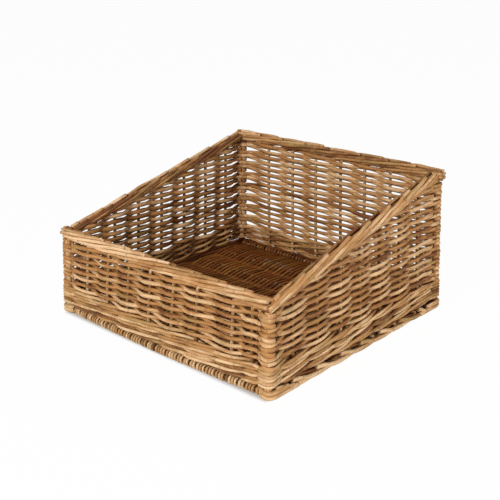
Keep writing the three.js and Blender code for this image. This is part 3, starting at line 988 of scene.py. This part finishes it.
def make_base_sticks(willow):
    """Base sticks from left to right. The first one has painted shade: a darker tone for the shade of its
    turns.
    """
    share = np.linspace(0, 1, STICK_RINGS)
    for number, y in enumerate(np.linspace(-HALF_Y, HALF_Y, BASE_STICKS), 1):
        lowest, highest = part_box(f"base_stick_{number}")
        span = np.array([lowest[0], highest[0]]) / MM
        line = joined(span[0] + (span[1] - span[0]) * share, y, BASE_MIDDLE)[None]
        # The first stick's tone is scaled down as painted shade from the turns round it
        painted_shade_factor = PAINTED_SHADE_TONE if number == 1 else 1.0
        part = rods(line, FLOOR_STICK_R, painted_shade_factor * tones(1)[0])
        name = f"base_stick_{number}"
        add_piece(f"{name}_rod", [part], [name], willow)


def chain_butts(name):
    """Butts laid along a side edge: each starts high under the wale, sinks along the edge and
    runs out under the next."""
    begins, last, lowest, lost, scatter, rings = 12.0, 0.55, 3.5, 0.5, 0.15, 26
    places = np.array([-HALF_Y + begins, *stake_places(name)])
    run = np.array([-6.0, 6.0, 18.0, 32.0, 56.0, 92.0])
    out = np.array([4.4, 4.9, 5.0, 4.9, 4.1, 0.8])
    height = np.array([12.6, 10.6, 6.9, 4.4, 3.8, 3.8])
    u = places[:, None] + run
    u[-1] = places[-1] + run * last
    n = out + chance.normal(0, scatter, u.shape)
    z = height + chance.normal(0, scatter, u.shape)
    at = np.linspace(0, run[-1] - run[0], rings)
    local = smooth_curve(run - run[0], np.stack([u, n, z], -1), at)
    level = np.maximum(local[..., 2], lowest)
    centres = wall_point(name, local[..., 0], level, local[..., 1])
    radius = BUTT_R - lost * np.linspace(0, 1, rings)
    return rods(centres, radius, toned(BUTT_TONES, tones(len(places))[:, None]))


def corner_rod(side, end, level, reach):
    """Rod that carries the front or back edge round a corner of the base, at one height."""
    x = np.array([178.0, 186.0, 192.4, 195.4, 196.2, 196.0, 195.6])
    y = np.array([183.6, 187.2, 187.4, 183.0, 175.0, 166.0, HALF_Y - reach])
    knots = summed(np.hypot(np.diff(x), np.diff(y)))
    points = joined(side * x, end * y, level)[None]
    path = smooth_curve(knots, points, np.linspace(0, knots[-1], STICK_RINGS))
    return rods(path, CORNER_ROD_R, toned(CORNER_TONES, tones(1)[0]))


def make_edge_chain(name, willow):
    """Chain of butts along a side edge, and the two rods that turn each of its corners."""
    parts = [chain_butts(name)]
    side = WALLS[name].outward[0]
    for end in (-1, 1):
        for level, reach in ((4.6, 46.0), (10.2, 28.0)):
            parts.append(corner_rod(side, end, level, reach))
    add_piece(f"edge_butts_{name}", parts, [f"base_edge_rod_{name}"], willow)


def feed(tree, node, values):
    """Sets sockets of a node to numbers or colours, or links other nodes' outputs to them."""
    for place, value in values.items():
        if isinstance(value, (int, float, tuple)):
            node.inputs[place].default_value = value
        else:
            tree.links.new(value, node.inputs[place])
    return node


def added(tree, kind, values=None):
    """New shader node of a kind, with its sockets fed."""
    return feed(tree, tree.nodes.new("ShaderNode" + kind), values or {})


def maths(tree, operation, one, two=0.0):
    """Result of one operation on two numbers or outputs."""
    node = added(tree, "Math", {0: one, 1: two})
    node.operation = operation
    return node.outputs[0]


def mixed(tree, factor, one, two):
    """Colour between two colours, by the factor."""
    node = added(tree, "Mix")
    node.data_type = "RGBA"
    return feed(tree, node, {0: factor, 6: one, 7: two}).outputs[2]


def ranged(tree, value, before, after=(0.0, 1.0)):
    """The value moved from one range to another, with a soft start and end."""
    node = added(tree, "MapRange", dict(enumerate((value, *before, *after))))
    node.interpolation_type = "SMOOTHSTEP"
    return node.outputs[0]


def rod_noise(tree, lay, name, along, across, detail):
    """Noise that repeats so many times a metre along the rod and across it."""
    scaled = added(tree, "VectorMath", {0: lay, 1: (along, across, across)})
    scaled.operation = "MULTIPLY"
    noise = added(tree, "TexNoise", {"Vector": scaled.outputs[0], "Scale": 1.0, "Detail": detail})
    noise.name = name
    return noise.outputs["Fac"]


def bud_rings(tree, lay):
    """Mask of the narrow rings that buds leave, at uneven places along the rod."""
    along = added(tree, "SeparateXYZ", {0: lay}).outputs["X"]
    bud = added(tree, "TexVoronoi")
    bud.voronoi_dimensions = "1D"
    feed(tree, bud, {"Scale": 1.0, "W": maths(tree, "MULTIPLY", along, BUDS_A_METRE)})
    return ranged(tree, bud.outputs["Distance"], BUD_EDGE, (BUD_STRENGTH, 0.0))


def attribute(tree, name):
    """Node that reads one attribute of the rods' points."""
    node = added(tree, "Attribute")
    node.attribute_name = name
    return node.outputs


def bark_group():
    """Willow bark: dark, middle and light colours mixed by the rod's tone and slow drift,
    darkened by fine grain along the rod and by bud rings."""
    tree = bpy.data.node_groups.new("willow_bark", "ShaderNodeTree")
    for way, kind, names in (("INPUT", "Color", SHADES),
                             ("INPUT", "Float", ("Grain",)), ("OUTPUT", "Color", ("Color",)),
                             ("OUTPUT", "Float", ("Roughness", "Height"))):
        for name in names:
            tree.interface.new_socket(name, in_out=way, socket_type="NodeSocket" + kind)
    entry = tree.nodes.new("NodeGroupInput").outputs
    lay = attribute(tree, "lay")["Vector"]
    slow = rod_noise(tree, lay, "drift along the rod", 16.0, 60.0, 2.0)
    mottle = rod_noise(tree, lay, "mottle", 110.0, 320.0, 3.0)
    grain = rod_noise(tree, lay, "grain", 45.0, 1500.0, 3.0)
    olive = rod_noise(tree, lay, "olive patches", 9.0, 30.0, 1.0)
    ring = bud_rings(tree, lay)
    tone = attribute(tree, "tone")["Fac"]
    tone = maths(tree, "ADD", tone, ranged(tree, slow, NOISE_SPAN, (-DRIFT, DRIFT)))
    tone = maths(tree, "ADD", tone, ranged(tree, mottle, NOISE_SPAN, (-MOTTLE, MOTTLE)))
    streak = maths(tree, "MULTIPLY", ranged(tree, grain, GRAIN_SPAN), entry["Grain"])
    colour = mixed(tree, ranged(tree, tone, (0.0, 0.5)), entry["Dark"], entry["Middle"])
    colour = mixed(tree, ranged(tree, tone, (0.5, 1.0)), colour, entry["Light"])
    colour = mixed(tree, ranged(tree, olive, OLIVE_SPAN, (0.0, OLIVE_MOST)), colour, entry["Green"])
    colour = mixed(tree, streak, colour, entry["Dark"])
    height = maths(tree, "MULTIPLY", grain, GRAIN_HEIGHT)
    height = maths(tree, "ADD", height, maths(tree, "MULTIPLY", mottle, MOTTLE_HEIGHT))
    feed(tree, tree.nodes.new("NodeGroupOutput"), {
        "Color": mixed(tree, ring, colour, entry["Dark"]),
        "Roughness": ranged(tree, mottle, NOISE_SPAN, ROUGHNESS),
        "Height": maths(tree, "ADD", height, maths(tree, "MULTIPLY", ring, BUD_HEIGHT)),
    })
    return tree


def willow_finish(name, group):
    """Willow bark on a plain dielectric surface with fine bump."""
    material = bpy.data.materials.new(name)
    material.use_nodes = True
    tree = material.node_tree
    bark = added(tree, "Group")
    bark.node_tree = group
    grain, *colours = FINISHES[name]
    feed(tree, bark, {"Grain": grain, **{way: (*colour, 1.0) for way, colour in zip(SHADES, colours)}})
    bark = bark.outputs
    bump = added(tree, "Bump", {"Strength": 0.5, "Distance": 0.0005, "Height": bark["Height"]})
    feed(tree, tree.nodes["Principled BSDF"], {
        "Base Color": bark["Color"], "Roughness": bark["Roughness"],
        "Specular IOR Level": 0.25, "Normal": bump.outputs["Normal"],
    })
    return material


def surfaced(tree, output, factor, one, two):
    """Puts out a shader between two shaders, by the factor."""
    mix = added(tree, "MixShader", {0: factor, 1: one.outputs[0], 2: two.outputs[0]})
    feed(tree, tree.nodes[output], {"Surface": mix.outputs[0]})


def floor_finish():
    """Pale plaster that reads white to the camera beyond the basket's own footprint."""
    material = bpy.data.materials.new("studio_white")
    material.use_nodes = True
    tree = material.node_tree
    plaster = tree.nodes["Principled BSDF"]
    feed(tree, plaster, {"Base Color": (0.8, 0.8, 0.8, 1.0), "Roughness": 0.9})
    white = added(tree, "Emission", {"Strength": 1.0})
    place = added(tree, "TexCoord").outputs["Object"]
    apart = added(tree, "SeparateXYZ", {0: place}).outputs
    reach = maths(tree, "MAXIMUM", maths(tree, "ABSOLUTE", apart["X"]), maths(tree, "ABSOLUTE", apart["Y"]))
    begins, ends = FOOTPRINT
    beyond = added(tree, "MapRange", {"Value": reach, "From Min": begins, "From Max": ends})
    bright = maths(tree, "MULTIPLY", beyond.outputs[0], FLOOR_WHITE)
    camera = added(tree, "LightPath").outputs["Is Camera Ray"]
    surfaced(tree, "Material Output", maths(tree, "MULTIPLY", camera, bright), plaster, white)
    return material


def make_floor():
    """Pale floor that still takes the basket's shadow."""
    size = 6.0
    mesh = bpy.data.meshes.new("studio_floor")
    corners = [(-size, -size, 0), (size, -size, 0), (size, size, 0), (-size, size, 0)]
    mesh.from_pydata(corners, [], [(0, 1, 2, 3)])
    mesh.materials.append(floor_finish())
    floor = placed("studio_floor", mesh)


def make_world():
    """Even pale surroundings, white to the camera."""
    world = bpy.data.worlds.new("studio")
    bpy.context.scene.world = world
    world.use_nodes = True
    tree = world.node_tree
    soft = feed(tree, tree.nodes["Background"], {"Color": (1.0, 0.98, 0.95, 1.0), "Strength": 0.2})
    white = added(tree, "Background", {"Color": (1.0, 1.0, 1.0, 1.0), "Strength": FLOOR_WHITE})
    path = added(tree, "LightPath").outputs
    through = maths(tree, "MAXIMUM", path["Is Glossy Ray"], path["Is Transmission Ray"])
    seen = maths(tree, "MAXIMUM", path["Is Camera Ray"], through)
    surfaced(tree, "World Output", seen, soft, white)


def add_lamp(name, place, size, power):
    """Round lamp of the studio, turned from its place towards the basket."""
    lamp = bpy.data.lights.new(name, "AREA")
    lamp.shape = "DISK"
    lamp.size = size
    lamp.energy = power
    holder = placed(name, lamp)
    holder.location = place
    back = unit(np.array(place) - np.array(LAMP_AIM))
    holder.rotation_euler = (math.acos(back[2]), 0.0, math.atan2(back[0], -back[1]))


def make_camera():
    """Camera at the photograph's angle: azimuth and elevation about a point inside the basket."""
    azimuth, elevation, distance = math.radians(42.1), math.radians(20.23), 1.2665
    target = np.array([-0.00621, 0.001, 0.08876])
    back = np.array([math.sin(azimuth) * math.cos(elevation),
                     -math.cos(azimuth) * math.cos(elevation), math.sin(elevation)])
    camera = bpy.data.cameras.new("photo_view")
    camera.sensor_width = 36.0
    camera.lens = 64.18
    holder = placed("photo_view", camera)
    holder.location = target + back * distance
    holder.rotation_euler = (math.pi / 2 - elevation, 0.0, azimuth)
    bpy.context.scene.camera = holder


def main():
    """Makes the finishes, the pieces of the basket, and the studio round it."""
    group = bark_group()
    weaver, wale, rim, stick, base = [willow_finish(name, group) for name in FINISHES]
    make_weave(weaver)
    make_wale(wale)
    make_rims(rim)
    make_stakes(stick)
    make_posts(weaver)
    make_base_rods(base)
    make_edge_turns(wale, base)
    make_base_sticks(stick)
    make_edge_chain("left", wale)
    make_edge_chain("right", wale)
    make_floor()
    make_world()
    make_camera()
    add_lamp("key", (0.4, -2.4, 1.4), 0.9, 66.0)
    add_lamp("fill", (2.6, 0.3, 0.4), 0.8, 32.0)
    add_lamp("top", (0.1, 0.2, 2.7), 1.6, 11.0)
    bpy.context.scene.view_settings.view_transform = "Standard"


main()
